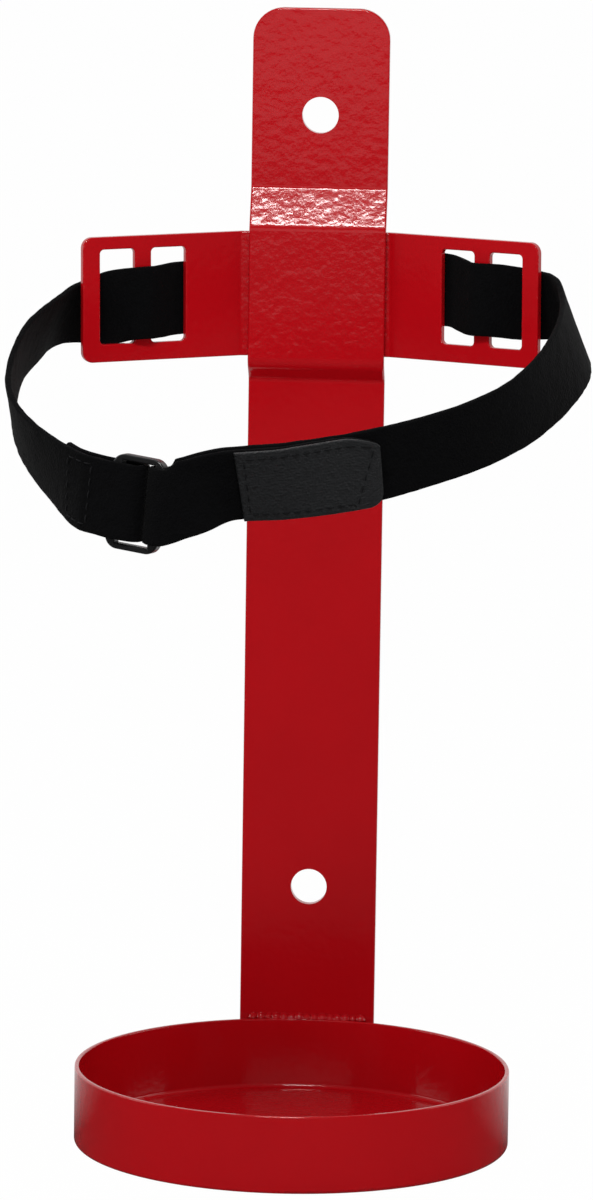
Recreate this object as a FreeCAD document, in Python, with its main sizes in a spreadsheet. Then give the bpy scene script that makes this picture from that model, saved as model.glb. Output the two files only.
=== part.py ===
import FreeCAD, Part
import math
import os
import Sketcher

# Fire extinguisher bracket: a painted steel strip with a round cup at its foot, a slotted cross plate with
# two wings behind a joggle in the strip, and a hook-and-loop strap closed on a moulded ring.
# Frame: x to the right, y towards the wall, z up; the origin is the middle of the cup's underside.

SIZES = {
    # Cup, pressed from sheet
    "cup_radius": 59.0,
    "cup_height": 21.0,
    "cup_wall": 1.2,
    "cup_floor": 1.5,
    "cup_foot_round": 1.0,
    "cup_floor_round": 1.2,
    "cup_rim_round": 0.4,
    # Back strip, with its joggle and two screw holes
    "plate_width": 37.6,
    "plate_thickness": 2.5,
    "plate_foot": 1.0,
    "plate_length": 302.6,
    "plate_top_round": 8.5,
    "plate_foot_round": 3.0,
    "plate_edge_round": 0.5,
    "hole_radius": 5.0,
    "lower_hole_height": 58.6,
    "hole_spacing": 215.7,
    "joggle_depth": 5.0,
    "joggle_lower_run": 4.5,
    "joggle_upper_run": 10.6,
    "joggle_bend": 2.0,
    "seat_slack": 0.3,
    # Cross plate with its two slotted wings
    "cradle_foot": 208.0,
    "cradle_height": 34.4,
    "cradle_thickness": 2.0,
    "cradle_edge_round": 0.4,
    "cradle_turn": 0.6,
    "cradle_shift": 0.5,
    "wing_gap": 1.6,
    "wing_length": 47.0,
    "wing_angle": 28.0,
    "wing_bend": 2.0,
    "wing_corner_round": 3.0,
    "slot_start": 16.6,
    "slot_width": 10.2,
    "slot_foot": 4.9,
    "slot_height": 26.0,
    "slot_bar": 4.9,
    "slot_corner_round": 1.2,
    # Weld on the rim
    "weld_lump_radius": 1.4,
    "weld_lump_pitch": 2.15,
    "weld_lumps": 15.0,
    # Moulded ring
    "ring_width": 15.5,
    "ring_height": 24.8,
    "ring_bar": 3.0,
    "ring_end": 1.6,
    "ring_thickness": 3.0,
    "ring_corner_round": 3.6,
    "ring_edge_round": 0.5,
    "ring_tilt": 1.0,
    "ring_sink": 0.4,
    # Strap, as it hangs threaded and closed
    "strap_width": 20.0,
    "strap_thickness": 1.6,
    "strap_gap": 0.6,
    "strap_bow": 0.85,
    "strap_root_stretch": 6.0,
    "strap_tip_turn": 45.0,
    "strap_level": 225.6,
    "strap_side": 77.0,
    "strap_reach": 75.0,
    "strap_drop": 38.0,
    "tail_length": 57.5,
    "tail_corner": 3.5,
    "flap_length": 20.0,
    "layer_gap": 0.35,
    "closing_length": 12.0,
    "tape_length": 38.0,
    "tape_thickness": 0.9,
    "tape_gap": 0.15,
}

# The strap's free run, from the left wing round the front to the right wing. Each station is the middle of
# the strap as shares of strap_side (right), strap_reach (back) and strap_drop (down from strap_level), with
# the lean of its upper edge to the right and to the back for each unit up.
LEFT_RUN = (
    (-0.915, 0.400, 0.20, 0.36, -0.42),
    (-0.968, 0.213, 0.27, 0.26, -0.37),
    (-0.996, -0.080, 0.47, 0.05, -0.35),
    (-0.948, -0.440, 0.71, -0.18, -0.37),
    (-0.779, -0.773, 0.92, -0.05, -0.29),
)
RING_STATION = (-0.481, -1.000, 1.045, 0.08, 0.00)
RIGHT_RUN = (
    (-0.240, -1.004, 0.985, -0.08, -0.26),
    (0.143, -0.891, 0.85, -0.08, -0.24),
    (0.494, -0.733, 0.71, -0.07, -0.33),
    (0.731, -0.540, 0.55, -0.11, -0.32),
    (0.873, -0.279, 0.36, -0.26, -0.26),
    (0.940, 0.047, 0.18, -0.42, -0.20),
    (0.925, 0.340, 0.08, -0.38, -0.19),
)
# The strap slipped a little sideways, so it lies lower at the left wing than at the right one, and it falls
# away outwards on both. Each value is a height above strap_level at the inner slot, bar and outer margin.
LEFT_WING_RISE = (-1.2, -1.5, -4.6)
RIGHT_WING_RISE = (1.8, 0.5, -0.9)
LEFT_WING_LEAN = (0.42, -0.46)
RIGHT_WING_LEAN = (-0.32, -0.20)

V = FreeCAD.Vector
ACROSS, THROUGH, UPWARDS = V(1, 0, 0), V(0, 1, 0), V(0, 0, 1)

# How near an edge lies to count as on a line, how well it points to count as along it, and the room that
# picks the joggle's bends
TOUCH = 0.01
ALIGNED = 0.9999
BEND_MARGIN = 1.0
# Steps round a bar of the ring, round a corner of the tail and along the free strap
WRAP_STEPS = 10
CORNER_STEPS = 4
STRAP_STEP = 5.0
# The share of the strap's lean that it has taken halfway through a wing's outer slot
TWIST_SHARE = 0.6
# How uneven the weld's lumps are, and the step of the wave that makes them so
WELD_UNEVENNESS = 0.1
WELD_WAVE = 2.3


def fill_sheet(doc):
    """Puts every driving size in one sheet, each under its own name."""
    sheet = doc.addObject("Spreadsheet::Sheet", "Sizes")
    for row, (name, value) in enumerate(SIZES.items(), 1):
        sheet.set(f"A{row}", name)
        sheet.set(f"B{row}", str(value))
        sheet.setAlias(f"B{row}", name)
    doc.recompute()
    return sheet


def bind(feature, **sizes):
    """Ties properties of a feature to expressions on the sheet."""
    for name, expression in sizes.items():
        feature.setExpression(name, expression)


def new_body(doc, label):
    body = doc.addObject("PartDesign::Body", label)
    body.Label = label
    return body


def origin_plane(body, role):
    return [item for item in body.Origin.OriginFeatures if item.Role == role][0]


def new_sketch(body, name, role):
    """An empty sketch on one of the body's own origin planes."""
    sketch = body.newObject("Sketcher::SketchObject", name)
    sketch.AttachmentSupport = [(origin_plane(body, role), "")]
    sketch.MapMode = "FlatFace"
    return sketch


def draw_outline(doc, sketch, corners):
    """Draws a closed outline whose corners are held at pairs of expressions, measured from the origin."""
    places = [V(value_of(doc, across), value_of(doc, up), 0) for across, up in corners]
    first = sketch.GeometryCount
    count = len(places)
    for i, place in enumerate(places):
        sketch.addGeometry(Part.LineSegment(place, places[(i + 1) % count]))
    for i in range(count):
        sketch.addConstraint(Sketcher.Constraint("Coincident", first + i, 2, first + (i + 1) % count, 1))
    for i, (across, up) in enumerate(corners):
        for kind, expression, value in (("DistanceX", across, places[i].x), ("DistanceY", up, places[i].y)):
            index = sketch.addConstraint(Sketcher.Constraint(kind, -1, 1, first + i, 1, value))
            sketch.setExpression(f"Constraints[{index}]", expression)
    doc.recompute()


def value_of(doc, expression):
    """The plain number that an expression on the sheet comes to."""
    value = doc.getObject("Sizes").evalExpression(expression.replace("Sizes.", ""))
    return float(getattr(value, "Value", value))


def edges_where(shape, test):
    return [f"Edge{i}" for i, edge in enumerate(shape.Edges, 1) if test(edge)]


def round_edges(doc, body, name, radius, test):
    """Rounds the edges of the body's last feature that pass a test."""
    base = body.Tip
    names = edges_where(base.Shape, test)
    fillet = body.newObject("PartDesign::Fillet", name)
    fillet.Base = (base, names)
    bind(fillet, Radius=radius)
    body.Tip = fillet
    doc.recompute()
    return fillet


def runs_along(edge, direction):
    """True for a straight edge that runs along a direction."""
    if edge.Curve.TypeId != "Part::GeomLine":
        return False
    return abs(edge.Curve.Direction.dot(direction)) > ALIGNED


def middle_of(edge):
    return edge.valueAt((edge.FirstParameter + edge.LastParameter) / 2)



LOWER_SLOPE = "atan(Sizes.joggle_depth / Sizes.joggle_lower_run)"
UPPER_SLOPE = "atan(Sizes.joggle_depth / Sizes.joggle_upper_run)"
BEND_REACH = "(Sizes.plate_thickness + Sizes.joggle_bend)"
LOWER_KNEE = f"(Sizes.cradle_foot - Sizes.seat_slack - {BEND_REACH} * tan({LOWER_SLOPE} / 2))"
UPPER_KNEE = (
    f"(Sizes.cradle_foot + Sizes.cradle_height + Sizes.seat_slack"
    f" + {BEND_REACH} * tan({UPPER_SLOPE} / 2))"
)
CRADLE_FRONT = "(Sizes.cup_radius - Sizes.joggle_depth + Sizes.plate_thickness)"
JOGGLE_FACE = "(Sizes.cup_radius - Sizes.joggle_depth)"
WING_ROOT = "(Sizes.plate_width / 2 + Sizes.wing_gap)"
INNER_SLOT = "Sizes.slot_start"
OUTER_SLOT = "(Sizes.slot_start + Sizes.slot_width + Sizes.slot_bar)"
SLOT_CUT_DEPTH = "(Sizes.cradle_thickness * 4)"


def back_plate(doc):
    """The strip: a side profile with the joggle, padded to the strip's width, then holes and rounds."""
    body = new_body(doc, "back_plate")
    front = "Sizes.cup_radius"
    rear = "(Sizes.cup_radius + Sizes.plate_thickness)"
    foot = "Sizes.plate_foot"
    top = "(Sizes.plate_foot + Sizes.plate_length)"
    low_shift = f"Sizes.plate_thickness * tan({LOWER_SLOPE} / 2)"
    high_shift = f"Sizes.plate_thickness * tan({UPPER_SLOPE} / 2)"
    lower_start = f"({LOWER_KNEE} - Sizes.joggle_lower_run)"
    upper_end = f"({UPPER_KNEE} + Sizes.joggle_upper_run)"
    profile = new_sketch(body, "strip_profile", "YZ_Plane")
    draw_outline(doc, profile, (
        (front, foot),
        (rear, foot),
        (rear, f"{lower_start} + {low_shift}"),
        (CRADLE_FRONT, f"{LOWER_KNEE} + {low_shift}"),
        (CRADLE_FRONT, f"{UPPER_KNEE} - {high_shift}"),
        (rear, f"{upper_end} - {high_shift}"),
        (rear, top),
        (front, top),
        (front, upper_end),
        (JOGGLE_FACE, UPPER_KNEE),
        (JOGGLE_FACE, LOWER_KNEE),
        (front, lower_start),
    ))
    pad = body.newObject("PartDesign::Pad", "strip")
    pad.Profile = profile
    pad.SideType = "Symmetric"
    bind(pad, Length="Sizes.plate_width")
    doc.recompute()
    add_screw_holes(doc, body)
    round_bends(doc, body)
    low, high = value_of(doc, foot), value_of(doc, top)
    round_edges(doc, body, "top_corners", "Sizes.plate_top_round",
                lambda edge: runs_along(edge, THROUGH) and middle_of(edge).z > high - TOUCH)
    round_edges(doc, body, "foot_corners", "Sizes.plate_foot_round",
                lambda edge: runs_along(edge, THROUGH) and middle_of(edge).z < low + TOUCH)
    side = value_of(doc, "Sizes.plate_width") / 2
    round_edges(doc, body, "soft_edges", "Sizes.plate_edge_round",
                lambda edge: abs(abs(edge.CenterOfMass.x) - side) < TOUCH and not runs_along(edge, THROUGH))
    return body


def add_screw_holes(doc, body):
    """Two round holes for wall screws, on the strip's middle line."""
    sketch = new_sketch(body, "screw_holes", "XZ_Plane")
    radius = value_of(doc, "Sizes.hole_radius")
    upper = "Sizes.lower_hole_height + Sizes.hole_spacing"
    for i, height in enumerate(("Sizes.lower_hole_height", upper)):
        centre = V(0, value_of(doc, height), 0)
        sketch.addGeometry(Part.Circle(centre, V(0, 0, 1), radius))
        sketch.addConstraint(Sketcher.Constraint("PointOnObject", i, 3, -2))
        index = sketch.addConstraint(Sketcher.Constraint("DistanceY", -1, 1, i, 3, centre.y))
        sketch.setExpression(f"Constraints[{index}]", height)
        index = sketch.addConstraint(Sketcher.Constraint("Radius", i, radius))
        sketch.setExpression(f"Constraints[{index}]", "Sizes.hole_radius")
    pocket = body.newObject("PartDesign::Pocket", "screw_hole_cut")
    pocket.Profile = sketch
    pocket.Type = "ThroughAll"
    pocket.SideType = "Symmetric"
    doc.recompute()


def round_bends(doc, body):
    """Gives the joggle's four bends their inner and outer radii."""
    low = value_of(doc, f"{LOWER_KNEE} - Sizes.joggle_lower_run") - BEND_MARGIN
    high = value_of(doc, f"{UPPER_KNEE} + Sizes.joggle_upper_run") + BEND_MARGIN

    def lies_on(*levels):
        places = [value_of(doc, level) for level in levels]
        return lambda edge: (
            runs_along(edge, ACROSS)
            and low < middle_of(edge).z < high
            and min(abs(middle_of(edge).y - place) for place in places) < TOUCH
        )

    round_edges(doc, body, "inner_bends", "Sizes.joggle_bend", lies_on("Sizes.cup_radius", CRADLE_FRONT))
    round_edges(doc, body, "outer_bends", "Sizes.joggle_bend + Sizes.plate_thickness",
                lies_on(JOGGLE_FACE, "Sizes.cup_radius + Sizes.plate_thickness"))


def cradle_plate(doc):
    """The cross plate: a bent plan padded to its height, with two slots cut square to each wing."""
    body = new_body(doc, "cradle_plate")
    turn = "Sizes.wing_angle"
    knee = f"Sizes.cradle_thickness * tan({turn} / 2)"
    rear = f"({CRADLE_FRONT} + Sizes.cradle_thickness)"
    tip_x = f"({WING_ROOT} + Sizes.wing_length * cos({turn}))"
    tip_y = f"({CRADLE_FRONT} - Sizes.wing_length * sin({turn}))"
    tip_rear_x = f"({tip_x} + Sizes.cradle_thickness * sin({turn}))"
    tip_rear_y = f"({tip_y} + Sizes.cradle_thickness * cos({turn}))"
    right_side = (
        (WING_ROOT, CRADLE_FRONT),
        (tip_x, tip_y),
        (tip_rear_x, tip_rear_y),
        (f"({WING_ROOT} + {knee})", rear),
    )
    left_side = tuple((f"-{across}", up) for across, up in reversed(right_side))
    plan = new_sketch(body, "bent_plan", "XY_Plane")
    bind(plan, **{".AttachmentOffset.Base.z": "Sizes.cradle_foot"})
    draw_outline(doc, plan, right_side + left_side)
    pad = body.newObject("PartDesign::Pad", "plate")
    pad.Profile = plan
    bind(pad, Length="Sizes.cradle_height")
    doc.recompute()
    slots = cut_slots(doc, body)
    mirror_slots(doc, body, slots)
    front, back = value_of(doc, CRADLE_FRONT), value_of(doc, rear)
    root, spread = value_of(doc, WING_ROOT), value_of(doc, f"{WING_ROOT} + {knee}")
    tip = value_of(doc, tip_x)

    def is_bend(x, y):
        return lambda edge: (
            runs_along(edge, UPWARDS) and abs(abs(middle_of(edge).x) - x) < TOUCH
            and abs(middle_of(edge).y - y) < TOUCH
        )

    round_edges(doc, body, "inner_bends", "Sizes.wing_bend", is_bend(root, front))
    round_edges(doc, body, "outer_bends", "Sizes.wing_bend + Sizes.cradle_thickness", is_bend(spread, back))
    angle = math.radians(value_of(doc, turn))
    squares = [V(side * math.sin(angle), math.cos(angle), 0) for side in (-1, 1)]

    def is_through(edge):
        return any(runs_along(edge, square) for square in squares)

    reach = tip - TOUCH
    round_edges(doc, body, "wing_corners", "Sizes.wing_corner_round",
                lambda edge: is_through(edge) and abs(middle_of(edge).x) > reach)
    round_edges(doc, body, "slot_corners", "Sizes.slot_corner_round",
                lambda edge: is_through(edge) and abs(middle_of(edge).x) < reach)
    bend_end = spread + value_of(doc, "Sizes.slot_start") / 2
    round_edges(doc, body, "soft_edges", "Sizes.cradle_edge_round",
                lambda edge: not is_through(edge)
                and (not runs_along(edge, UPWARDS) or abs(middle_of(edge).x) > bend_end))
    body.Placement = cradle_placement(doc)
    doc.recompute()
    return body


def cradle_placement(doc):
    """The cross plate is welded on a little to the left and a little out of level."""
    level = V(0, 0, value_of(doc, "Sizes.cradle_foot + Sizes.cradle_height / 2"))
    turn = FreeCAD.Rotation(V(0, 1, 0), -value_of(doc, "Sizes.cradle_turn"))
    shift = V(-value_of(doc, "Sizes.cradle_shift"), 0, 0)
    return FreeCAD.Placement(shift, turn, level)


def cut_slots(doc, body):
    """Two upright slots in the right wing, drawn on its own plane."""
    sketch = new_sketch(body, "slot_outlines", "XZ_Plane")
    sketch.AttachmentOffset = FreeCAD.Placement(V(), FreeCAD.Rotation(V(0, -1, 0), 1))
    bind(sketch, **{
        ".AttachmentOffset.Base.x": WING_ROOT,
        ".AttachmentOffset.Base.z": f"-{CRADLE_FRONT}",
        ".AttachmentOffset.Rotation.Angle": "Sizes.wing_angle",
    })
    low = "(Sizes.cradle_foot + Sizes.slot_foot)"
    high = f"({low} + Sizes.slot_height)"
    for start in (INNER_SLOT, OUTER_SLOT):
        end = f"({start} + Sizes.slot_width)"
        draw_outline(doc, sketch, ((start, low), (end, low), (end, high), (start, high)))
    pocket = body.newObject("PartDesign::Pocket", "slots")
    pocket.Profile = sketch
    pocket.SideType = "Symmetric"
    bind(pocket, Length=SLOT_CUT_DEPTH)
    doc.recompute()
    return pocket


def mirror_slots(doc, body, slots):
    """The left wing's slots, as the mirror image of the right wing's."""
    mirror = body.newObject("PartDesign::Mirrored", "slots_mirrored")
    mirror.Originals = [slots]
    mirror.MirrorPlane = (origin_plane(body, "YZ_Plane"), [""])
    body.Tip = mirror
    doc.recompute()


def cup(doc):
    """The cup: a turned profile of floor and wall."""
    body = new_body(doc, "cup")
    inside = "(Sizes.cup_radius - Sizes.cup_wall)"
    profile = new_sketch(body, "cup_profile", "XZ_Plane")
    draw_outline(doc, profile, (
        ("0", "0"),
        ("Sizes.cup_radius", "0"),
        ("Sizes.cup_radius", "Sizes.cup_height"),
        (inside, "Sizes.cup_height"),
        (inside, "Sizes.cup_floor"),
        ("0", "Sizes.cup_floor"),
    ))
    turned = body.newObject("PartDesign::Revolution", "turned_cup")
    turned.Profile = profile
    turned.ReferenceAxis = (profile, ["V_Axis"])
    turned.Angle = 360
    doc.recompute()
    outer, bore = value_of(doc, "Sizes.cup_radius"), value_of(doc, inside)
    height, floor = value_of(doc, "Sizes.cup_height"), value_of(doc, "Sizes.cup_floor")

    def is_ring(*rings):
        return lambda edge: edge.Curve.TypeId == "Part::GeomCircle" and any(
            abs(edge.Curve.Radius - radius) < TOUCH and abs(edge.Curve.Center.z - level) < TOUCH
            for radius, level in rings
        )

    round_edges(doc, body, "foot_round", "Sizes.cup_foot_round", is_ring((outer, 0)))
    round_edges(doc, body, "floor_round", "Sizes.cup_floor_round", is_ring((bore, floor)))
    round_edges(doc, body, "rim_round", "Sizes.cup_rim_round", is_ring((outer, height), (bore, height)))
    return body


def rim_weld(doc):
    """The weld: a row of lumps in the corner between the strip's face and the cup's rim."""
    lumps = []
    count = round(value_of(doc, "Sizes.weld_lumps"))
    for i in range(count):
        lump = doc.addObject("Part::Sphere", f"weld_lump_{i + 1}")
        lump.Angle1 = 0
        lump.Angle3 = 180
        swell = 1 + WELD_UNEVENNESS * math.sin(WELD_WAVE * i)
        bind(lump, Radius=f"Sizes.weld_lump_radius * {swell:.2f}")
        lump.Placement.Rotation = FreeCAD.Rotation(UPWARDS, 180)
        bind(lump, **{
            ".Placement.Base.x": f"Sizes.weld_lump_pitch * {i - (count - 1) / 2}",
            ".Placement.Base.y": "Sizes.cup_radius",
            ".Placement.Base.z": "Sizes.cup_height",
        })
        lumps.append(lump)
    weld = doc.addObject("Part::MultiFuse", "rim_weld")
    weld.Shapes = lumps
    weld.Label = "rim_weld"
    doc.recompute()
    return weld


def ring_buckle(doc, frame):
    """The moulded ring: a rounded frame round one opening, set where the strap holds it."""
    body = new_body(doc, "ring_buckle")
    sketch = new_sketch(body, "ring_outline", "XY_Plane")
    half_wide, half_high = "Sizes.ring_width / 2", "Sizes.ring_height / 2"
    for across, up in (
        (half_wide, half_high),
        (f"({half_wide} - Sizes.ring_bar)", f"({half_high} - Sizes.ring_end)"),
    ):
        draw_outline(doc, sketch, (
            (f"-({across})", f"-({up})"),
            (across, f"-({up})"),
            (across, up),
            (f"-({across})", up),
        ))
    pad = body.newObject("PartDesign::Pad", "ring")
    pad.Profile = sketch
    pad.SideType = "Symmetric"
    bind(pad, Length="Sizes.ring_thickness")
    doc.recompute()
    edge_x = value_of(doc, half_wide)
    round_edges(doc, body, "ring_corners", "Sizes.ring_corner_round",
                lambda edge: runs_along(edge, UPWARDS) and abs(middle_of(edge).x) > edge_x - TOUCH)
    round_edges(doc, body, "ring_soft_edges", "Sizes.ring_edge_round",
                lambda edge: not runs_along(edge, UPWARDS))
    turn = FreeCAD.Rotation(V(0, 0, 1), -value_of(doc, "Sizes.ring_tilt"))
    sink = V(0, -value_of(doc, "Sizes.ring_sink"), 0)
    body.Placement = frame.multiply(FreeCAD.Placement(sink, turn))
    doc.recompute()
    return body


class Station:
    """One place along a strip: its middle, the direction of its upper edge and its width there."""

    def __init__(self, middle, upper, width):
        self.middle = middle
        self.upper = upper
        self.width = width


def spline_through(points, places):
    curve = Part.BSplineCurve()
    curve.interpolate(Points=points, Parameters=places)
    return curve


def lengths_along(stations):
    """Running length from the first station, along straight lines between their middles."""
    places = [0.0]
    for one, other in zip(stations, stations[1:]):
        places.append(places[-1] + one.middle.distanceToPoint(other.middle))
    return places


def frame_at(curve, place, upper):
    """Tangent, upward and outward unit directions of a strip at one place of its middle line."""
    tangent = V(*curve.tangent(place)[0])
    across = (upper - tangent * upper.dot(tangent)).normalize()
    return tangent, across, tangent.cross(across)


def ribbon(stations, thickness):
    """A closed solid strip through its stations, with square edges and ends."""
    places = lengths_along(stations)
    curve = spline_through([station.middle for station in stations], places)
    rails = {}
    for side, face in ((1, 1), (1, -1), (-1, -1), (-1, 1)):
        points = []
        for station, place in zip(stations, places):
            _, across, outward = frame_at(curve, place, station.upper)
            points.append(
                station.middle + across * (side * station.width / 2) + outward * (face * thickness / 2)
            )
        rails[side, face] = spline_through(points, places).toShape()
    edges = list(rails.values())
    faces = [Part.makeRuledSurface(edges[i], edges[(i + 1) % 4], 1) for i in range(4)]
    for end in (0, -1):
        corners = [edge.Vertexes[end].Point for edge in edges]
        faces.append(Part.Face(Part.makePolygon(corners + corners[:1])))
    shell = Part.makeShell(faces)
    shell.sewShape()
    solid = Part.makeSolid(shell)
    if solid.Volume < 0:
        solid.reverse()
    return solid


class StrapRoute:
    """Works out where the strap runs, from the sheet's sizes and the shares above."""

    def __init__(self, doc):
        for name in SIZES:
            setattr(self, name, value_of(doc, f"Sizes.{name}"))
        half = self.strap_thickness / 2
        self.clear = half + self.strap_gap
        self.layer = self.strap_thickness + self.layer_gap
        self.ring_offset = self.ring_thickness / 2 + self.clear
        skew = self.strap_width / 2 * math.tan(math.radians(self.ring_tilt))
        self.ring_hold = self.ring_width / 2 + skew + self.strap_gap
        self.wrap_centre = self.ring_width / 2 - self.ring_bar - skew - self.clear + self.ring_offset
        self.root = V(value_of(doc, WING_ROOT), value_of(doc, CRADLE_FRONT), 0)
        self.angle = math.radians(self.wing_angle)
        self.root_reach = (self.wing_bend + self.cradle_thickness) * math.tan(self.angle / 2)
        self.welded = cradle_placement(doc)

    def free(self, right, back, down, lean_right, lean_back):
        middle = V(right * self.strap_side, back * self.strap_reach, self.strap_level - down * self.strap_drop)
        return Station(middle, V(lean_right, lean_back, 1).normalize(), self.strap_width)

    def wing_directions(self, side):
        """Outwards along a wing, and square to it towards the wall."""
        across, forward = math.cos(self.angle), math.sin(self.angle)
        return V(side * across, -forward, 0), V(side * forward, across, 0)

    def at_wing(self, side, along, back, rise, lean):
        """A station given by its distance along a wing and back from the wing's front face."""
        out, square = self.wing_directions(side)
        middle = V(side * self.root.x, self.root.y, self.strap_level + rise) + out * along + square * back
        upper = V(lean[0], lean[1], 1).normalize()
        return Station(self.welded.multVec(middle), upper, self.strap_width)

    def crossing(self, start, end, standing):
        """The first, middle and last place of a straight pass through a slot, clear of both its corners.

        The corners are given along the wing and back from its face; standing is 1 where the strap starts
        behind the plate and -1 where it starts in front.
        """
        wide, deep = end[0] - start[0], abs(end[1] - start[1])
        slope = math.atan2(deep, wide) + math.asin(2 * self.clear / math.hypot(wide, deep))
        shift = (self.clear * math.sin(slope), standing * self.clear * math.cos(slope))
        first = (start[0] + shift[0], start[1] + shift[1])
        last = (end[0] - shift[0], end[1] - shift[1])
        return first, ((first[0] + last[0]) / 2, (first[1] + last[1]) / 2), last

    def through_wing(self, side, rises, lean):
        """Stations from behind the solid root, over the bar between the slots, round the wing's tip."""
        _, square = self.wing_directions(side)
        upper = V(lean[0], lean[1], 1).normalize()
        back = self.cradle_thickness
        leaned_back = back - upper.dot(square) * self.strap_width / 2
        bar_start = self.slot_start + self.slot_width
        bar_end = bar_start + self.slot_bar
        margin = bar_end + self.slot_width
        inner = self.crossing((self.slot_start, back), (bar_start, 0), 1)
        outer = self.crossing((bar_end, 0), (margin, leaned_back), -1)
        turn = math.radians(self.strap_tip_turn)
        reach = self.clear + self.strap_bow
        tip = (self.wing_length + reach * math.sin(turn), leaned_back + reach * math.cos(turn))
        first, middle, last = rises
        steps = (
            ((self.root_reach, back + self.clear), first, 0),
            ((self.slot_start - self.strap_root_stretch, back + self.clear), first, 0),
            (inner[0], first, 0),
            (inner[1], (2 * first + middle) / 3, 0),
            (inner[2], middle, 0),
            (((bar_start + bar_end) / 2, -self.clear - self.strap_bow), middle, 0),
            (outer[0], middle, 0),
            (outer[1], (middle + last) / 2, TWIST_SHARE),
            (outer[2], last, 1),
            (((margin + self.wing_length) / 2, leaned_back + self.clear + self.strap_bow), last, 1),
            (tip, last, 1),
        )
        return [
            self.at_wing(side, along, depth, rise, (lean[0] * share, lean[1] * share))
            for (along, depth), rise, share in steps
        ]

    def behind_middle(self, side):
        """A station behind the plate's flat middle, just before the bend of one wing."""
        share = (self.root.x - self.root_reach) / (self.root.x + self.slot_start * math.cos(self.angle))
        left, right = LEFT_WING_RISE[0], RIGHT_WING_RISE[0]
        rise = (left + right) / 2 + side * share * (right - left) / 2
        out = V(side * (self.root.x - self.root_reach), self.root.y + self.cradle_thickness + self.clear, 0)
        return Station(self.welded.multVec(out + V(0, 0, self.strap_level + rise)), V(0, 0, 1), self.strap_width)

    def ring_frame(self):
        """The ring's place: x along the strap to the right, y up, z outwards."""
        here = self.free(*RING_STATION)
        before, after = self.free(*LEFT_RUN[-1]), self.free(*RIGHT_RUN[0])
        chord = after.middle - before.middle
        tangent = (chord - here.upper * chord.dot(here.upper)).normalize()
        return here.middle, tangent, here.upper, tangent.cross(here.upper)

    def in_ring(self, along, out):
        middle, tangent, up, outward = self.ring_frame()
        return Station(middle + tangent * along + outward * out, up, self.strap_width)

    def wrap(self, side):
        """Half a turn round one bar of the ring, from its back to its front, through the opening."""
        turn = self.ring_offset
        arc = []
        for i in range(WRAP_STEPS + 1):
            angle = math.pi * i / WRAP_STEPS
            along = side * (self.wrap_centre - turn * math.sin(angle))
            arc.append(self.in_ring(along, -turn * math.cos(angle)))
        return arc

    def main_run(self):
        """The strap's single layer, from the front of the ring's left bar round to the back of its right one."""
        left, right = self.wrap(-1), self.wrap(1)
        stations = [left[-1], self.in_ring(-self.ring_hold, self.ring_offset)]
        stations += [self.free(*share) for share in reversed(LEFT_RUN)]
        stations += reversed(self.through_wing(-1, LEFT_WING_RISE, LEFT_WING_LEAN))
        stations += [self.behind_middle(-1), self.behind_middle(1)]
        stations += self.through_wing(1, RIGHT_WING_RISE, RIGHT_WING_LEAN)
        stations += [self.free(*share) for share in reversed(RIGHT_RUN)]
        stations += [self.in_ring(self.ring_hold, -self.ring_offset), right[0]]
        return Run(stations)

    def second_layer(self, run, start, step, side, length):
        """Stations on one side of a run: held apart by the ring's bar at first, then lying on the run."""
        held = self.ring_hold - self.wrap_centre
        stations = []
        count = round(length / STRAP_STEP)
        for i in range(1, count + 1):
            distance = length * i / count
            closed = min(max((distance - held) / self.closing_length, 0), 1)
            share = (1 - math.cos(math.pi * closed)) / 2
            offset = 2 * self.ring_offset + (self.layer - 2 * self.ring_offset) * share
            stations.append(run.beside(start + step * distance, side * offset))
        return stations


class Run:
    """A smooth strip through stations: its middle line and its upper rail."""

    def __init__(self, stations):
        self.places = lengths_along(stations)
        self.curve = spline_through([station.middle for station in stations], self.places)
        self.width = stations[0].width
        rail = [station.middle + station.upper * self.width / 2 for station in stations]
        self.upper_rail = spline_through(rail, self.places)
        self.length = self.places[-1]

    def at(self, place):
        middle = self.curve.value(place)
        return Station(middle, (self.upper_rail.value(place) - middle).normalize(), self.width)

    def beside(self, place, offset):
        """A station moved out of the strip's face by an offset."""
        station = self.at(place)
        _, across, outward = frame_at(self.curve, place, station.upper)
        return Station(station.middle + outward * offset, across, self.width)

    def sampled(self, step):
        """The run's own stations and evenly spaced ones between them, without its two ends."""
        places = []
        for one, other in zip(self.places, self.places[1:]):
            count = max(1, round((other - one) / step))
            places += [one + (other - one) * i / count for i in range(count)]
        return [self.at(place) for place in places[1:]]


def strap_and_tape(doc):
    """The strap in one piece, flap to tail, and the strip of hook tape on its tail."""
    route = StrapRoute(doc)
    run = route.main_run()
    left, right = route.wrap(-1), route.wrap(1)
    flap = route.second_layer(run, 0.0, 1, 1, route.flap_length)
    tail = route.second_layer(run, run.length, -1, -1, route.tail_length)
    stations = list(reversed(flap)) + left + run.sampled(STRAP_STEP) + right
    tail_run = Run([right[-1]] + tail)
    end = round_corners(tail_run, 0.0, tail_run.length, route.tail_corner)
    stations += end
    strap = doc.addObject("Part::Feature", "strap")
    strap.Shape = ribbon(stations, route.strap_thickness)
    strap.Label = "strap"
    offset = route.strap_thickness / 2 + route.tape_gap + route.tape_thickness / 2
    tape_start = tail_run.length - route.tape_length
    tape = round_corners(tail_run, tape_start, tail_run.length, route.tail_corner, offset, True)
    hook_tape = doc.addObject("Part::Feature", "hook_tape")
    hook_tape.Shape = ribbon(tape, route.tape_thickness)
    hook_tape.Label = "hook_tape"
    doc.recompute()
    return strap, hook_tape


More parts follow.
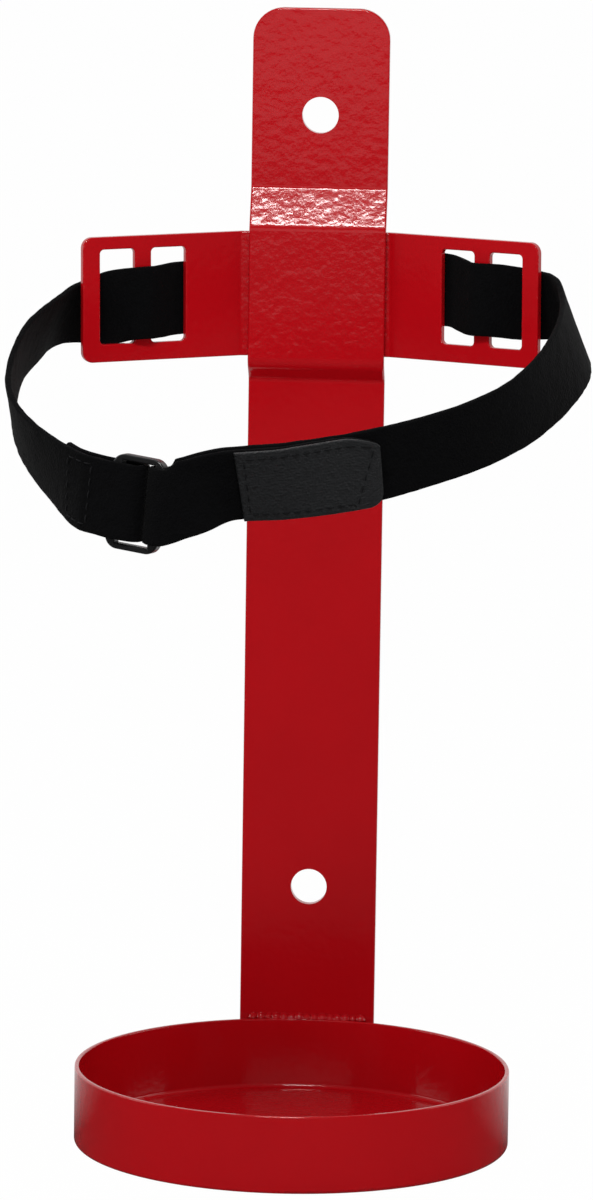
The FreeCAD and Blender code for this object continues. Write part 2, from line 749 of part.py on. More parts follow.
def round_corners(run, start, end, corner, offset=0.0, with_start=False):
    """Stations of a run from start to end, the last stretch narrowed to two round corners."""
    straight = end - corner
    count = max(2, round((straight - start) / STRAP_STEP))
    places = [start + (straight - start) * i / count for i in range(0 if with_start else 1, count + 1)]
    stations = [run.beside(place, offset) for place in places]
    for i in range(1, CORNER_STEPS + 1):
        angle = math.pi / 2 * i / CORNER_STEPS
        station = run.beside(straight + corner * math.sin(angle), offset)
        station.width = run.width - 2 * corner * (1 - math.cos(angle))
        stations.append(station)
    return stations


def ring_placement(doc):
    """The ring's place as a placement: its own x, y and z along, up and out of the strap."""
    middle, tangent, up, outward = StrapRoute(doc).ring_frame()
    return FreeCAD.Placement(middle, FreeCAD.Rotation(tangent, up, outward, "ZXY"))


def check(doc, parts):
    """Stops before anything is written if a feature failed or a piece isn't a sound solid."""
    for item in doc.Objects:
        if "Invalid" in item.State or "Error" in item.State:
            raise RuntimeError(f"{item.Name} failed: {item.State}")
    for part in parts:
        shape = part.Shape
        if shape.isNull() or not shape.isValid() or not shape.Solids:
            raise RuntimeError(f"{part.Label} is not a sound solid")


def main():
    doc = FreeCAD.newDocument("bracket")
    fill_sheet(doc)
    parts = [back_plate(doc), cradle_plate(doc), cup(doc), rim_weld(doc)]
    parts += strap_and_tape(doc)
    parts.append(ring_buckle(doc, ring_placement(doc)))
    doc.recompute()
    check(doc, parts)
    os.makedirs("parts", exist_ok=True)
    for part in parts:
        part.Shape.exportStep(f"parts/{part.Label}.step")


main()
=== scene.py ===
import math
import bpy
import bmesh
import numpy as np
from mathutils import Matrix, Vector


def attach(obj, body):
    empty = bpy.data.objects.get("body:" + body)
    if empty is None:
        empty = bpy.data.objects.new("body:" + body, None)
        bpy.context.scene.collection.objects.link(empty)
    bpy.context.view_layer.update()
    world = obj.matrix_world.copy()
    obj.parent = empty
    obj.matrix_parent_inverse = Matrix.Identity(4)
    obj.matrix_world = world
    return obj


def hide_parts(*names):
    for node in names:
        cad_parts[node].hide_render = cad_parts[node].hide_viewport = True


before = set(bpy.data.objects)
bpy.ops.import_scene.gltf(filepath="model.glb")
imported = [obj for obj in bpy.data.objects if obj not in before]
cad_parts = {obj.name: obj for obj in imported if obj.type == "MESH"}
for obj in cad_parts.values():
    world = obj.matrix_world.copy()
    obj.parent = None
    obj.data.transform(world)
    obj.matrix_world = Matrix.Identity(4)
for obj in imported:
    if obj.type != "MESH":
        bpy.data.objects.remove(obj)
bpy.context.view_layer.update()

bl_info = {
    "name": "Fire Extinguisher Bracket",
    "version": (1, 0, 0),
    "blender": (4, 5, 0),
    "location": "View3D > Sidebar > Bracket",
    "description": "Paint, strap, hook tape, ring and stage for a wall bracket",
    "category": "Object",
}

MM = 0.001

# Strap and hook tape: samples along and across them, how far rails are matched, and their seeds of pile
STRAP_STEP = 1.2 * MM
MATCH_STEP = 0.2 * MM
MATCH_REACH = 9.0 * MM
SHARP_EDGE = math.radians(50)
WELD_DISTANCE = 0.001 * MM
EDGE_ROUND_POINTS = 4
SMOOTH_PASSES = 2
STRAP_COLUMNS = 18
STRAP_SEED = 7
TAPE_COLUMNS = 24
TAPE_SEED = 11
TAPE_SMOOTHER = 3

# Sewing: the strap's fold is sewn behind the ring's left bar, measured from the strap's inner end
THREAD_RADIUS = 0.22 * MM
THREAD_SIDES = 6
STITCH_RINGS = 6
STITCH_PITCH = 3.0 * MM
STITCH_LENGTH = 2.3 * MM
STITCH_SINK = 0.6
STITCH_RISE = 1.1
STITCH_THIN = 0.45
STITCH_MARGIN = 2.0 * MM
TAIL_STITCH_MARGIN = 5.5 * MM
FOLD_STITCH_START = 43.0 * MM
FOLD_STITCH_END = 52.0 * MM
TAPE_EDGE_ROUND = 0.3 * MM

# The sewn loop on the ring's left bar is slack: its fold reaches this much further into the ring's opening
LOOP_SLACK = 4.7 * MM
LOOP_SEARCH = 40.0 * MM
LOOP_FLAT = 5.5 * MM
LOOP_RAMP = 14.0 * MM

# How far the layers right of the ring are lifted, and where across the front that starts, holds and ends
TAIL_LIFT = 2.3 * MM
TAIL_LIFT_PLACES = (-31 * MM, -24 * MM, -20 * MM, 2 * MM)
TAIL_LIFT_SHARES = (0, 1, 1, 0)

# Left of this the strap's turn past the wing's tip is softened, fully so after the ramp
EASED_BEYOND = -62.0 * MM
EASE_RAMP = 7.0 * MM
EASE_PASSES = 60

# Places of the colour sockets on Blender's Mix node
MIX_FIRST = 6
MIX_SECOND = 7
MIX_RESULT = 2

# Stage: the floor's and the world's light, and how dim they are in reflections in front of the object
WHITE = (1.0, 1.0, 1.0, 1.0)
FLOOR_GREY = (0.8, 0.8, 0.8, 1.0)
FLOOR_SIZE = 60.0
FLOOR_WHITENESS = 0.985
WORLD_LIGHT = 0.48
WORLD_REFLECTED = 0.06
# Reflections see white behind the object: metres back on the floor, and a direction's share back in the world
BACKDROP_START = 0.0
BACKDROP_FULL = 0.12

# Each lamp: name, place, aim, width, height and power. The softbox's upper edge stands where the lower
# half of the strip's upper slope mirrors it, and the low card where only the strip's top does.
LAMPS = (
    ("softbox", (-0.03, -0.42, 0.618), (0, 0.0565, 0.249), 0.2, 0.1, 2.3),
    ("low card", (0.0, -2.35, 0.38), (0, 0, 0.25), 2.6, 0.7, 3.4),
    ("left lamp", (-2.1, -0.3, 0.45), (0, 0, 0.1), 0.9, 0.9, 6.0),
    ("right lamp", (2.1, 0.1, 0.45), (0, 0, 0.1), 0.9, 0.9, 4.0),
)

# Camera, fitted to the photograph's outlines; angles in degrees, lengths in metres
CAMERA_YAW = 3.86
CAMERA_ELEVATION = 9.28
CAMERA_ROLL = 0.85
CAMERA_DISTANCE = 1.849
CAMERA_AIM = Vector((-0.00063, 0.0, 0.1492))
CAMERA_LENS = 206.55
CAMERA_SENSOR = 36.0
CAMERA_FAR = 100.0


def to_linear(hex_colour):
    """An sRGB hex colour as linear red, green, blue and full alpha."""
    values = [int(hex_colour[i:i + 2], 16) / 255 for i in (1, 3, 5)]
    return tuple(v / 12.92 if v <= 0.04045 else ((v + 0.055) / 1.055) ** 2.4 for v in values) + (1.0,)


class BracketStrap(bpy.types.PropertyGroup):
    edge_round: bpy.props.FloatProperty(
        name="Edge roundness", description="Radius of the strap's long edges",
        default=0.55 * MM, unit="LENGTH", subtype="DISTANCE")
    pile_unevenness: bpy.props.FloatProperty(
        name="Pile unevenness", description="How far the looped pile stands in and out",
        default=0.05 * MM, unit="LENGTH", subtype="DISTANCE")
    cloth: bpy.props.FloatVectorProperty(
        name="Strap colour", description="Colour of the looped strap cloth",
        default=to_linear("#060607")[:3], size=3, subtype="COLOR")
    tape: bpy.props.FloatVectorProperty(
        name="Hook tape colour", description="Colour of the hook tape on the tail",
        default=to_linear("#18191b")[:3], size=3, subtype="COLOR")


class BracketPaint(bpy.types.PropertyGroup):
    red: bpy.props.FloatVectorProperty(
        name="Paint colour", description="Colour of the red enamel",
        default=to_linear("#b10812")[:3], size=3, subtype="COLOR")
    peel: bpy.props.FloatProperty(
        name="Orange peel", description="Height of the paint's dimples",
        default=0.07 * MM, unit="LENGTH", subtype="DISTANCE")


def add_node(tree, kind, settings=None, links=None):
    """Adds a node, sets its properties and sockets, and links its inputs to other nodes' outputs."""
    node = tree.nodes.new(kind)
    for name, value in (settings or {}).items():
        if hasattr(node, name) and name not in node.inputs:
            setattr(node, name, value)
        else:
            node.inputs[name].default_value = value
    for name, source in (links or {}).items():
        tree.links.new(source, node.inputs[name])
    return node


def new_material(name):
    """An empty node material with a Principled shader and its output."""
    material = bpy.data.materials.new(name)
    material.use_nodes = True
    tree = material.node_tree
    tree.nodes.clear()
    shader = tree.nodes.new("ShaderNodeBsdfPrincipled")
    output = tree.nodes.new("ShaderNodeOutputMaterial")
    tree.links.new(shader.outputs["BSDF"], output.inputs["Surface"])
    return material, tree, shader


def calculated(tree, operation, first, second):
    """The result of a Math node on two outputs."""
    node = add_node(tree, "ShaderNodeMath", {"operation": operation})
    tree.links.new(first, node.inputs[0])
    tree.links.new(second, node.inputs[1])
    return node.outputs[0]


def blend_tones(tree, shader, colour, darker, lighter, share):
    """Drifts the base colour between a darker and a lighter tone of it."""
    tone = add_node(tree, "ShaderNodeMix", {"data_type": "RGBA"}, {"Factor": share})
    tone.inputs[MIX_FIRST].default_value = tuple(v * darker for v in colour) + (1.0,)
    tone.inputs[MIX_SECOND].default_value = tuple(min(1.0, v * lighter) for v in colour) + (1.0,)
    tree.links.new(tone.outputs[MIX_RESULT], shader.inputs["Base Color"])


def add_bump(tree, shader, height, strength, distance, invert=False):
    """Gives the shader a bump from a height."""
    settings = {"Strength": strength, "Distance": distance, "invert": invert}
    bump = add_node(tree, "ShaderNodeBump", settings, {"Height": height})
    tree.links.new(bump.outputs["Normal"], shader.inputs["Normal"])


def red_enamel(colour, peel):
    """Red stoving enamel sprayed on steel: a glossy skin with the soft dimples of orange peel."""
    material, tree, shader = new_material("red stoving enamel")
    place = add_node(tree, "ShaderNodeTexCoord").outputs["Object"]
    # Dimples about 2 mm apart on ripples about 7 mm long, and slow drifts of colour about 40 mm long
    dimples = add_node(tree, "ShaderNodeTexNoise", {"Scale": 480.0, "Detail": 2.0}, {"Vector": place})
    ripples = add_node(tree, "ShaderNodeTexNoise", {"Scale": 140.0, "Detail": 1.0}, {"Vector": place})
    drift = add_node(tree, "ShaderNodeTexNoise", {"Scale": 25.0, "Detail": 3.0}, {"Vector": place})
    blend_tones(tree, shader, colour, 0.86, 1.06, drift.outputs["Fac"])
    height = calculated(tree, "ADD", dimples.outputs["Fac"], ripples.outputs["Fac"])
    add_bump(tree, shader, height, 1.0, peel)
    shader.inputs["Roughness"].default_value = 0.12
    shader.inputs["IOR"].default_value = 1.5
    return material


def looped_cloth(colour):
    """Nylon loop cloth: matt black, with short curled pile that breaks up the light."""
    material, tree, shader = new_material("black nylon loop cloth")
    along = add_node(tree, "ShaderNodeUVMap", {"uv_map": "strap_run"}).outputs["UV"]
    # Loops drawn 0.7 mm apart, a little coarser than real ones so that they show, in tufts of 2.4 mm
    curls = add_node(tree, "ShaderNodeTexVoronoi", {"Scale": 1500.0}, {"Vector": along})
    pile = {"Scale": 420.0, "Detail": 4.0, "Roughness": 0.7}
    tufts = add_node(tree, "ShaderNodeTexNoise", pile, {"Vector": along})
    blend_tones(tree, shader, colour, 0.55, 1.5, tufts.outputs["Fac"])
    height = calculated(tree, "ADD", curls.outputs["Distance"], tufts.outputs["Fac"])
    add_bump(tree, shader, height, 0.7, 0.25 * MM)
    shader.inputs["Roughness"].default_value = 0.9
    shader.inputs["Sheen Weight"].default_value = 0.006
    shader.inputs["Sheen Roughness"].default_value = 0.5
    shader.inputs["Specular IOR Level"].default_value = 0.06
    return material


def hook_cloth(colour):
    """Nylon hook tape: rows of tiny stiff hooks that look like dark grey grit."""
    material, tree, shader = new_material("dark grey nylon hook tape")
    along = add_node(tree, "ShaderNodeUVMap", {"uv_map": "strap_run"}).outputs["UV"]
    # Hooks stand about 0.7 mm apart, with specks of 1.4 mm
    hooks = add_node(tree, "ShaderNodeTexVoronoi", {"Scale": 1400.0, "Randomness": 0.65}, {"Vector": along})
    specks = add_node(tree, "ShaderNodeTexNoise", {"Scale": 700.0, "Detail": 3.0}, {"Vector": along})
    blend_tones(tree, shader, colour, 0.5, 1.5, specks.outputs["Fac"])
    add_bump(tree, shader, hooks.outputs["Distance"], 0.9, 0.25 * MM, invert=True)
    shader.inputs["Roughness"].default_value = 0.55
    shader.inputs["Specular IOR Level"].default_value = 0.45
    return material


def moulded_nylon():
    """Injection-moulded black nylon: smooth and satin, with a faint mould texture."""
    material, tree, shader = new_material("black moulded nylon")
    place = add_node(tree, "ShaderNodeTexCoord").outputs["Object"]
    # Spark-eroded mould grain about 0.3 mm across
    grain = add_node(tree, "ShaderNodeTexNoise", {"Scale": 3000.0, "Detail": 2.0}, {"Vector": place})
    add_bump(tree, shader, grain.outputs["Fac"], 0.25, 0.02 * MM)
    shader.inputs["Base Color"].default_value = to_linear("#141415")
    shader.inputs["Roughness"].default_value = 0.32
    return material


def sewing_thread():
    """Twisted polyester thread: black with a slight shine on each stitch."""
    material, tree, shader = new_material("black polyester thread")
    place = add_node(tree, "ShaderNodeTexCoord").outputs["Object"]
    # Twist about 0.4 mm long
    twist = add_node(tree, "ShaderNodeTexWave", {"Scale": 800.0, "Distortion": 2.0}, {"Vector": place})
    add_bump(tree, shader, twist.outputs["Fac"], 0.4, 0.05 * MM)
    shader.inputs["Base Color"].default_value = to_linear("#0f0f11")
    shader.inputs["Roughness"].default_value = 0.8
    shader.inputs["Specular IOR Level"].default_value = 0.2
    return material


def dress_node(name, material):
    """Gives a CAD node its material."""
    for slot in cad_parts[name].material_slots:
        slot.material = material
    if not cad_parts[name].material_slots:
        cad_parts[name].data.materials.append(material)


def strip_rails(node):
    """The four long edges of a strip's CAD solid, from its square end: upper and lower pairs."""
    solid = bmesh.new()
    solid.from_mesh(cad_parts[node].data)
    bmesh.ops.remove_doubles(solid, verts=solid.verts, dist=WELD_DISTANCE)
    links = {}
    for edge in solid.edges:
        if len(edge.link_faces) == 2 and edge.calc_face_angle() > SHARP_EDGE:
            for one, other in (edge.verts, reversed(edge.verts)):
                links.setdefault(one.index, []).append(other.index)
    solid.verts.ensure_lookup_table()
    corners = [index for index, others in links.items() if len(others) > 2]
    if len(corners) != 4:
        raise RuntimeError(f"{node} has {len(corners)} corners at its square end, not 4")
    corners.sort(key=lambda index: -solid.verts[index].co.z)
    rails = []
    for corner in corners[:2]:
        chains = [walk(links, corner, step, corners) for step in links[corner]]
        chain = max(chains, key=len)
        points = np.array([solid.verts[index].co[:] for index in chain])
        gap = int(np.argmax(np.linalg.norm(np.diff(points, axis=0), axis=1)))
        rails.append((points[:gap + 1], points[gap + 1:][::-1]))
    solid.free()
    return rails


def walk(links, corner, step, corners):
    """Follows a sharp edge from one corner to the next."""
    chain = [corner, step]
    while chain[-1] not in corners:
        onward = [index for index in links[chain[-1]] if index != chain[-2]]
        chain.append(onward[0])
    return chain


def resample(points, step):
    """Evenly spaced points on a polyline."""
    along = np.concatenate([[0], np.cumsum(np.linalg.norm(np.diff(points, axis=0), axis=1))])
    count = max(2, round(along[-1] / step))
    places = np.linspace(0, along[-1], count + 1)
    return np.stack([np.interp(places, along, points[:, axis]) for axis in range(3)], 1)


def matched(guide, rail):
    """For each point of a guide, the nearest one on another rail, never going back along it."""
    fine = resample(rail, MATCH_STEP)
    window = round(MATCH_REACH / MATCH_STEP)
    found = []
    start = 0
    for point in guide:
        ahead = fine[start:start + window]
        start += int(np.argmin(np.linalg.norm(ahead - point, axis=1)))
        found.append(fine[start])
    found[0], found[-1] = fine[0], fine[-1]
    return np.array(found)


def evened(rows, passes):
    """Rows evened out along the strip, with both ends held."""
    rows = rows.copy()
    for _ in range(passes):
        rows[1:-1] = (rows[:-2] + 2 * rows[1:-1] + rows[2:]) / 4
    return rows


class Strip:
    """A cloth strip's middle line and its frame, read from the long edges of its CAD solid."""

    def __init__(self, node, step):
        (upper, lower), (upper_back, lower_back) = strip_rails(node)
        low = resample(lower, step)
        low_back = matched(low, lower_back)
        guide = matched(low, upper)
        back = matched(guide, upper_back)
        self.middle = evened((guide + back + low + low_back) / 4, SMOOTH_PASSES)
        self.lift_tail()
        wide = evened((guide + back - low - low_back) / 4, SMOOTH_PASSES)
        self.half_wide = np.linalg.norm(wide, axis=1)
        self.across = wide / self.half_wide[:, None]
        thick = evened((guide + low - back - low_back) / 4, SMOOTH_PASSES)
        thick -= self.across * (thick * self.across).sum(1)[:, None]
        self.half_thick = float(np.median(np.linalg.norm(thick, axis=1)))
        self.out = thick / np.linalg.norm(thick, axis=1)[:, None]
        self.measure()

    def lift_tail(self):
        """Lifts the closed layers right of the ring, which run straight up from it in the photograph."""
        x, y = self.middle[:, 0], self.middle[:, 1]
        share = np.interp(x, TAIL_LIFT_PLACES, TAIL_LIFT_SHARES)
        share = share * share * (3 - 2 * share)
        self.middle[:, 2] += np.where(y < 0, TAIL_LIFT * share, 0)

    def measure(self):
        """Works out each station's distance along the strip."""
        steps = np.linalg.norm(np.diff(self.middle, axis=0), axis=1)
        self.along = np.concatenate([[0], np.cumsum(steps)])
        self.length = float(self.along[-1])

    def slacken(self, slack):
        """Slides the first fold further along its own legs, as in a sewn loop longer than its bar needs."""
        near = self.along < LOOP_SEARCH
        apex = int(np.argmax(self.middle[near, 0]))
        away = np.abs(self.along - self.along[apex])
        legs = self.middle[(away > LOOP_FLAT) & (away < LOOP_RAMP)].mean(0)
        heading = (self.middle[apex] - legs) / np.linalg.norm(self.middle[apex] - legs)
        share = np.clip((LOOP_RAMP - away) / (LOOP_RAMP - LOOP_FLAT), 0, 1)
        self.middle += heading * (slack * share)[:, None]
        self.measure()

    def ease_beyond(self, left):
        """Softens the strap's turn past the left wing, where its CAD solid pivots on its upper edge."""
        share = np.clip((left - self.middle[:, 0]) / EASE_RAMP, 0, 1)[:, None]
        for rows in (self.middle, self.across, self.out):
            rows += share * (evened(rows, EASE_PASSES) - rows)
        self.across /= np.linalg.norm(self.across, axis=1)[:, None]
        self.out -= self.across * (self.out * self.across).sum(1)[:, None]
        self.out /= np.linalg.norm(self.out, axis=1)[:, None]
        self.measure()

    def frame_at(self, place):
        """Middle, across and outward directions at a distance along the strip."""
        values = []
        for rows in (self.middle, self.across, self.out):
            values.append(np.array([np.interp(place, self.along, rows[:, axis]) for axis in range(3)]))
        return values

    def surface_point(self, place, sideways, side, lift):
        """A point on one face, sideways from the middle line and lifted off it."""
        middle, across, out = self.frame_at(place)
        return Vector(middle + across * sideways + out * side * (self.half_thick + lift))


def section_shape(columns):
    """A strip's cross-section: shares of the flat part and of the corner radius, for each point round it."""
    rows = []
    for corner in range(4):
        start = math.pi / 2 * corner
        diagonal = start + math.pi / 4
        signs = (math.copysign(1, math.cos(diagonal)), math.copysign(1, math.sin(diagonal)))
        for i in range(EDGE_ROUND_POINTS + 1):
            turn = start + math.pi / 2 * i / EDGE_ROUND_POINTS
            rows.append((signs[0], signs[1], math.cos(turn), math.sin(turn)))
        if corner in (0, 2):
            for i in range(1, columns):
                rows.append((signs[0] * (1 - 2 * i / columns), signs[1], 0.0, signs[1]))
    return np.array(rows)


def strip_piece(name, strip, radius, columns, unevenness, seed):
    """A closed cloth strip with round edges, an uneven surface and a UV map that runs along it."""
    shape = section_shape(columns)
    dice = np.random.default_rng(seed)
    stations, around = len(strip.middle), len(shape)
    noise = dice.normal(size=(stations, around))
    for axis in (0, 1):
        noise = (np.roll(noise, 1, axis) + 2 * noise + np.roll(noise, -1, axis)) / 4
    noise *= unevenness / noise.std()
    points = np.empty((stations, around, 3))
    for i in range(stations):
        flat_wide, flat_thick = strip.half_wide[i] - radius, strip.half_thick - radius
        reach = radius + np.clip(noise[i], -2 * unevenness, unevenness)
        wide = shape[:, 0] * flat_wide + shape[:, 2] * reach
        thick = shape[:, 1] * flat_thick + shape[:, 3] * reach
        points[i] = strip.middle[i] + wide[:, None] * strip.across[i] + thick[:, None] * strip.out[i]
    rim = np.concatenate([[0], np.cumsum(np.linalg.norm(np.diff(points[stations // 2], axis=0), axis=1))])
    body = bmesh.new()
    verts = [[body.verts.new(point) for point in ring] for ring in points]
    run = body.loops.layers.uv.new("strap_run")
    for i in range(stations - 1):
        for j in range(around):
            k = (j + 1) % around
            face = body.faces.new((verts[i][j], verts[i][k], verts[i + 1][k], verts[i + 1][j]))
            face.smooth = True
            over = rim[k] if k else rim[-1] + (rim[1] - rim[0])
            places = ((i, rim[j]), (i, over), (i + 1, over), (i + 1, rim[j]))
            for loop, (station, height) in zip(face.loops, places):
                loop[run].uv = (strip.along[station], height)
    for ring, station in ((verts[0][::-1], 0), (verts[-1], stations - 1)):
        cap = body.faces.new(ring)
        for loop in cap.loops:
            offset = loop.vert.co - Vector(strip.middle[station])
            loop[run].uv = (strip.along[station], offset.dot(Vector(strip.across[station])))
    return new_piece(name, body)


def new_piece(name, body):
    """A new object of the scene from a finished mesh body."""
    bmesh.ops.recalc_face_normals(body, faces=body.faces)
    mesh = bpy.data.meshes.new(name)
    body.to_mesh(mesh)
    body.free()
    piece = bpy.data.objects.new(name, mesh)
    bpy.context.scene.collection.objects.link(piece)
    return piece


def stitch_row(body, strip, start, end, side):
    """Sews one straight row between two places given as (along, sideways)."""
    length = math.dist(start, end)
    count = max(1, round(length / STITCH_PITCH))
    for i in range(count):
        middle = (i + 0.5) / count
        half = STITCH_LENGTH / 2 / length
        ring_before = None
        for j in range(STITCH_RINGS + 1):
            share = j / STITCH_RINGS
            place = middle + half * (2 * share - 1)
            spot = [a + (b - a) * place for a, b in zip(start, end)]
            arch = math.sin(math.pi * share)
            lift = THREAD_RADIUS * (STITCH_RISE * arch - STITCH_SINK)
            centre = strip.surface_point(spot[0], spot[1], side, lift)
            _, across, out = strip.frame_at(spot[0])
            tangent = np.cross(across, out)
            heading = Vector(tangent * (end[0] - start[0]) + across * (end[1] - start[1])).normalized()
            if heading.dot(Vector(strip.frame_at(end[0])[0] - strip.frame_at(start[0])[0])) < 0:
                heading = -heading
            out = Vector(out) * side
            beside = heading.cross(out).normalized()
            radius = THREAD_RADIUS * (STITCH_THIN + (1 - STITCH_THIN) * arch)
            ring = []
            for k in range(THREAD_SIDES):
                turn = 2 * math.pi * k / THREAD_SIDES
                outward = beside * math.cos(turn) + out * math.sin(turn)
                ring.append(body.verts.new(centre + outward * radius))
            if ring_before:
                for k in range(THREAD_SIDES):
                    m = (k + 1) % THREAD_SIDES
                    body.faces.new((ring_before[k], ring_before[m], ring[m], ring[k])).smooth = True
            else:
                body.faces.new(ring[::-1])
            ring_before = ring
        body.faces.new(ring_before)


def stitched_rows(name, strip, rows, side):
    """One piece with several rows of stitches."""
    body = bmesh.new()
    for start, end in rows:
        stitch_row(body, strip, start, end, side)
    return new_piece(name, body)


def outer_side(strip, place):
    """1 or -1: the face of the strip that looks away from the bottle at a place."""
    middle, _, out = strip.frame_at(place)
    return 1 if out[0] * middle[0] + out[1] * middle[1] > 0 else -1


def finish_piece(piece, material):
    """Gives a new piece its material and its body."""
    piece.data.materials.append(material)
    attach(piece, "root")


class BRACKET_OT_paint(bpy.types.Operator):
    """Paints the strip, the cross plate, the cup and the weld"""
    bl_idname = "bracket.paint"
    bl_label = "Paint the Metal"

    def execute(self, context):
        paint = context.scene.bracket_paint
        enamel = red_enamel(tuple(paint.red), paint.peel)
        for name in ("back_plate", "cradle_plate", "cup", "rim_weld"):
            dress_node(name, enamel)
        return {"FINISHED"}


class BRACKET_OT_ring(bpy.types.Operator):
    """Gives the moulded ring its nylon"""
    bl_idname = "bracket.ring"
    bl_label = "Finish the Ring"

    def execute(self, context):
        dress_node("ring_buckle", moulded_nylon())
        return {"FINISHED"}


class BRACKET_OT_strap(bpy.types.Operator):
    """Makes the looped strap on the route of its CAD solid, and the box of stitches that holds its fold"""
    bl_idname = "bracket.strap"
    bl_label = "Make the Strap"

    def execute(self, context):
        sizes = context.scene.bracket_strap
        strip = Strip("strap", STRAP_STEP)
        strip.slacken(LOOP_SLACK)
        strip.ease_beyond(EASED_BEYOND)
        strap = strip_piece("strap_webbing", strip, sizes.edge_round, STRAP_COLUMNS,
                            sizes.pile_unevenness, STRAP_SEED)
        finish_piece(strap, looped_cloth(tuple(sizes.cloth)))
        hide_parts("strap")
        width = 2 * float(np.median(strip.half_wide))
        near, far, half = FOLD_STITCH_START, FOLD_STITCH_END, width / 2 - STITCH_MARGIN
        box = [((near, -half), (near, half)), ((far, -half), (far, half)),
               ((near, -half), (far, -half)), ((near, half), (far, half))]
        stitches = stitched_rows("fold_stitching", strip, box, outer_side(strip, near))
        finish_piece(stitches, sewing_thread())
        return {"FINISHED"}


class BRACKET_OT_tape(bpy.types.Operator):
    """Makes the hook tape on the strap's tail, with the stitching along its border"""
    bl_idname = "bracket.tape"
    bl_label = "Make the Hook Tape"

    def execute(self, context):
        sizes = context.scene.bracket_strap
        strip = Strip("hook_tape", STRAP_STEP / 2)
        tape = strip_piece("hook_tape_cloth", strip, TAPE_EDGE_ROUND, TAPE_COLUMNS,
                           sizes.pile_unevenness / TAPE_SMOOTHER, TAPE_SEED)
        finish_piece(tape, hook_cloth(tuple(sizes.tape)))
        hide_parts("hook_tape")
        width = 2 * float(np.median(strip.half_wide))
        half = width / 2 - STITCH_MARGIN
        start, end = STITCH_MARGIN, strip.length - TAIL_STITCH_MARGIN
        rows = [((start, -half), (end, -half)), ((start, half), (end, half)),
                ((start, -half), (start, half)), ((end, -half), (end, half))]
        stitches = stitched_rows("tape_stitching", strip, rows, outer_side(strip, start))
        finish_piece(stitches, sewing_thread())
        return {"FINISHED"}


def area_lamp(name, place, aim, width, height, power):
    """A flat soft lamp that points at a place."""
    bpy.ops.object.light_add(type="AREA", location=place)
    lamp = bpy.context.object
    lamp.name = name
    lamp.data.shape = "RECTANGLE"
    lamp.data.size = width
    lamp.data.size_y = height
    lamp.data.energy = power
    lamp.rotation_euler = (Vector(aim) - Vector(place)).to_track_quat("-Z", "Y").to_euler()


class BRACKET_OT_stage(bpy.types.Operator):
    """Sets the floor, the lamps, the world and the camera"""
    bl_idname = "bracket.stage"
    bl_label = "Set the Stage"

    def execute(self, context):
        bpy.ops.mesh.primitive_plane_add(size=FLOOR_SIZE, location=(0, 0, 0))
        floor = context.object
        floor.name = "floor"
        floor.data.materials.append(floor_card())
        build_world()
        for lamp in LAMPS:
            area_lamp(*lamp)
        place_camera()
        context.scene.view_settings.view_transform = "Standard"
        return {"FINISHED"}


def floor_card():
    """A white studio floor that keeps a trace of the object's shadow, and is mirrored white behind it."""
    material = bpy.data.materials.new("white studio floor")
    material.use_nodes = True
    tree = material.node_tree
    tree.nodes.clear()
    rays = tree.nodes.new("ShaderNodeLightPath")
    lit = add_node(tree, "ShaderNodeBsdfDiffuse", {"Color": FLOOR_GREY})
    white = add_node(tree, "ShaderNodeEmission", {"Color": WHITE, "Strength": 1.0})
    mirrored_light = {"Strength": backdrop_strength(tree, "Object")}
    backdrop = add_node(tree, "ShaderNodeEmission", {"Color": WHITE}, mirrored_light)
    share = add_node(tree, "ShaderNodeMath", {"operation": "MULTIPLY"})
    share.inputs[1].default_value = FLOOR_WHITENESS
    tree.links.new(seen_directly(tree, rays), share.inputs[0])
    mirrored = mixed(tree, rays.outputs["Is Glossy Ray"], lit, backdrop)
    seen = mixed(tree, share.outputs[0], mirrored, white)
    output = tree.nodes.new("ShaderNodeOutputMaterial")
    tree.links.new(seen.outputs[0], output.inputs["Surface"])
    return material


def mixed(tree, share, first, second):
    """Mixes two shaders by a share that comes from another node."""
    mix = tree.nodes.new("ShaderNodeMixShader")
    tree.links.new(share, mix.inputs[0])
    tree.links.new(first.outputs[0], mix.inputs[1])
    tree.links.new(second.outputs[0], mix.inputs[2])
    return mix


def seen_directly(tree, rays):
    """1 for rays from the camera and for rays that came through something clear."""
    return calculated(tree, "MAXIMUM", rays.outputs["Is Camera Ray"], rays.outputs["Is Transmission Ray"])


def backdrop_strength(tree, space):
    """White behind the object and dim in front of it, as a studio with one white backdrop is."""
    place = add_node(tree, "ShaderNodeTexCoord").outputs[space]
    axes = add_node(tree, "ShaderNodeSeparateXYZ", None, {"Vector": place})
    span = {"From Min": BACKDROP_START, "From Max": BACKDROP_FULL, "To Min": WORLD_REFLECTED, "To Max": 1.0}
    rise = add_node(tree, "ShaderNodeMapRange", span, {"Value": axes.outputs["Y"]})
    return rise.outputs["Result"]


def build_world():
    """Even light all round: white to the camera, and white behind the object in reflections."""
    world = bpy.data.worlds.new("white room")
    bpy.context.scene.world = world
    world.use_nodes = True
    tree = world.node_tree
    tree.nodes.clear()
    rays = tree.nodes.new("ShaderNodeLightPath")
    light = add_node(tree, "ShaderNodeBackground", {"Color": WHITE, "Strength": WORLD_LIGHT})
    white = add_node(tree, "ShaderNodeBackground", {"Color": WHITE, "Strength": 1.0})
    mirrored_light = {"Strength": backdrop_strength(tree, "Generated")}
    backdrop = add_node(tree, "ShaderNodeBackground", {"Color": WHITE}, mirrored_light)
    mirrored = mixed(tree, rays.outputs["Is Glossy Ray"], light, backdrop)
    seen = mixed(tree, seen_directly(tree, rays), mirrored, white)
    output = tree.nodes.new("ShaderNodeOutputWorld")
    tree.links.new(seen.outputs[0], output.inputs["Surface"])


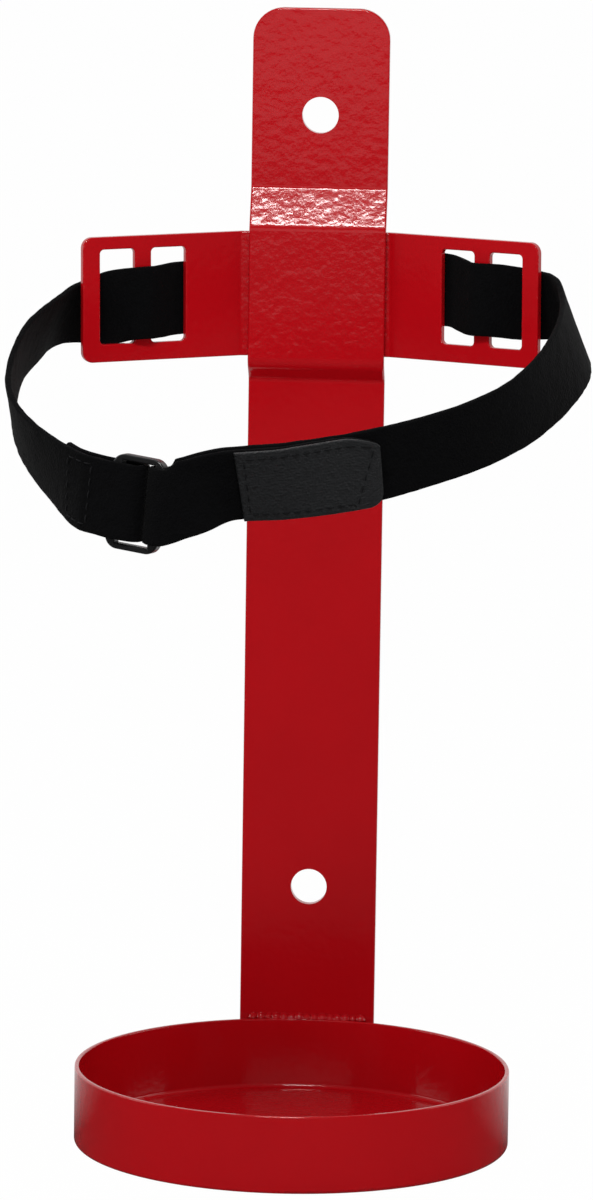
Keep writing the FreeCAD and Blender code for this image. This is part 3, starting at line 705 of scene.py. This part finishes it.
def place_camera():
    """The camera that the photograph was taken with."""
    yaw, rise, roll = (math.radians(v) for v in (CAMERA_YAW, CAMERA_ELEVATION, CAMERA_ROLL))
    back = Vector((math.sin(yaw) * math.cos(rise), -math.cos(yaw) * math.cos(rise), math.sin(rise)))
    level = Vector((math.cos(yaw), math.sin(yaw), 0))
    upright = back.cross(level)
    right = level * math.cos(roll) + upright * math.sin(roll)
    up = upright * math.cos(roll) - level * math.sin(roll)
    bpy.ops.object.camera_add()
    camera = bpy.context.object
    turn = Matrix((right, up, back)).transposed().to_4x4()
    camera.matrix_world = Matrix.Translation(CAMERA_AIM + back * CAMERA_DISTANCE) @ turn
    camera.data.sensor_fit = "VERTICAL"
    camera.data.sensor_height = CAMERA_SENSOR
    camera.data.lens = CAMERA_LENS
    camera.data.clip_end = CAMERA_FAR
    bpy.context.scene.camera = camera


class BRACKET_PT_panel(bpy.types.Panel):
    bl_label = "Bracket"
    bl_idname = "BRACKET_PT_panel"
    bl_space_type = "VIEW_3D"
    bl_region_type = "UI"
    bl_category = "Bracket"

    def draw(self, context):
        column = self.layout.column()
        for group in (context.scene.bracket_paint, context.scene.bracket_strap):
            for name in group.bl_rna.properties.keys():
                if name not in ("rna_type", "name"):
                    column.prop(group, name)
        for operator in OPERATORS:
            column.operator(operator.bl_idname)


OPERATORS = (BRACKET_OT_paint, BRACKET_OT_ring, BRACKET_OT_strap, BRACKET_OT_tape, BRACKET_OT_stage)
CLASSES = (BracketStrap, BracketPaint) + OPERATORS + (BRACKET_PT_panel,)


def register():
    """Makes the bracket's classes and its two groups of settings known to Blender."""
    for item in CLASSES:
        bpy.utils.register_class(item)
    bpy.types.Scene.bracket_strap = bpy.props.PointerProperty(type=BracketStrap)
    bpy.types.Scene.bracket_paint = bpy.props.PointerProperty(type=BracketPaint)


def unregister():
    """Takes them away again."""
    del bpy.types.Scene.bracket_strap
    del bpy.types.Scene.bracket_paint
    for item in reversed(CLASSES):
        bpy.utils.unregister_class(item)


def main():
    """Makes every piece and the stage in order."""
    register()
    bpy.context.view_layer.objects.active = None
    bpy.ops.object.select_all(action="DESELECT")
    bpy.ops.bracket.paint()
    bpy.ops.bracket.ring()
    bpy.ops.bracket.strap()
    bpy.ops.bracket.tape()
    bpy.ops.bracket.stage()
    bpy.context.view_layer.update()


if __name__ == "__main__":
    main()
